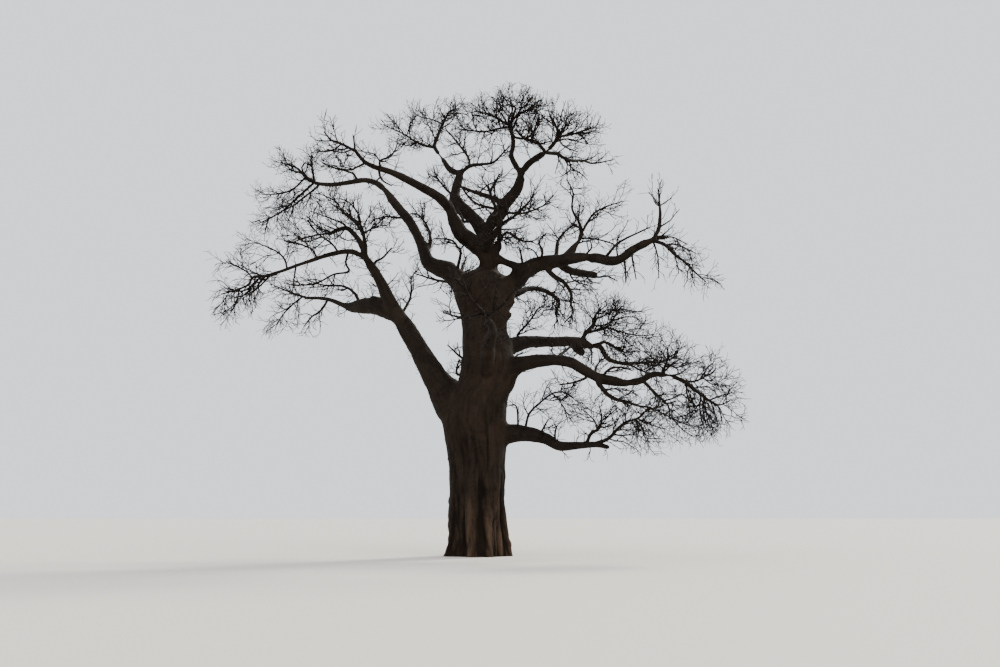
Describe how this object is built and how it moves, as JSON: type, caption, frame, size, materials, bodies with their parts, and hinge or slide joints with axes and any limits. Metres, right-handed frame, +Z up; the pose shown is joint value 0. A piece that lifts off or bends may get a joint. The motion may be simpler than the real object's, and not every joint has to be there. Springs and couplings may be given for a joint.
{
  "type": "leafless baobab tree",
  "caption": "Whole leafless baobab: a stout fluted trunk on a flat foot, crooked tapering boughs low and high, and sprays of bare twigs at their ends.",
  "frame": {"origin": "middle of the flat cut under the trunk, at ground level", "axes": "+Z up; +Y away from the side that the picture shows; +X to the right in the picture"},
  "size_m": [20.9895, 18.1755, 21.1918],
  "materials": {
    "trunk_bark": "dark grey-brown baobab bark, folded and fluted at the foot, matte with a faint sheen on its ridges",
    "bough_bark": "smoother grey-brown bark with creases, knobs and lighter streaks, matte",
    "twig_bark": "thin dark brown bark of bare twigs, matte"
  },
  "bodies": {
    "root": {"trunk": "trunk_bark", "low_left_bough": "bough_bark", "low_left_arm": "bough_bark", "low_left_spur": "bough_bark", "upper_left_bough": "bough_bark", "upper_left_arm": "bough_bark", "crown_left_bough": "bough_bark", "crown_left_arm": "bough_bark", "crown_right_bough": "bough_bark", "crown_mid_bough": "bough_bark", "crown_mid_arm": "bough_bark", "crown_top_arm": "bough_bark", "crown_right_arm": "bough_bark", "upper_right_bough": "bough_bark", "upper_right_arm": "bough_bark", "upper_right_spur": "bough_bark", "mid_right_bough": "bough_bark", "mid_right_arm": "bough_bark", "broad_right_bough": "bough_bark", "broad_right_arm": "bough_bark", "low_right_bough": "bough_bark", "rear_bough": "bough_bark", "rear_left_bough": "bough_bark", "rear_low_bough": "bough_bark", "front_bough": "bough_bark", "low_left_end_twigs": "twig_bark", "low_left_inner_twigs": "twig_bark", "low_left_spur_twigs": "twig_bark", "low_left_hook_twigs": "twig_bark", "low_left_crown_twigs": "twig_bark", "upper_left_fan_twigs": "twig_bark", "crown_left_end_twigs": "twig_bark", "crown_left_side_twigs": "twig_bark", "crown_mid_twigs": "twig_bark", "crown_mid_right_twigs": "twig_bark", "crown_cross_twigs": "twig_bark", "crown_top_twigs": "twig_bark", "crown_top_right_twigs": "twig_bark", "right_dome_twigs": "twig_bark", "right_tail_twigs": "twig_bark", "riser_left_twigs": "twig_bark", "riser_twigs": "twig_bark", "horn_twigs": "twig_bark", "tail_twigs": "twig_bark", "hanging_twigs": "twig_bark", "short_right_twigs": "twig_bark", "mid_right_end_twigs": "twig_bark", "mid_right_rise_twigs": "twig_bark", "broad_right_end_twigs": "twig_bark", "broad_right_rise_twigs": "twig_bark", "broad_right_under_twigs": "twig_bark", "broad_right_drop_twigs": "twig_bark", "low_right_end_twigs": "twig_bark", "low_right_mid_twigs": "twig_bark", "low_right_rise_twigs": "twig_bark", "rear_twigs": "twig_bark", "rear_left_twigs": "twig_bark", "rear_low_twigs": "twig_bark", "front_high_twigs": "twig_bark", "front_twigs": "twig_bark"}
  },
  "joints": []
}
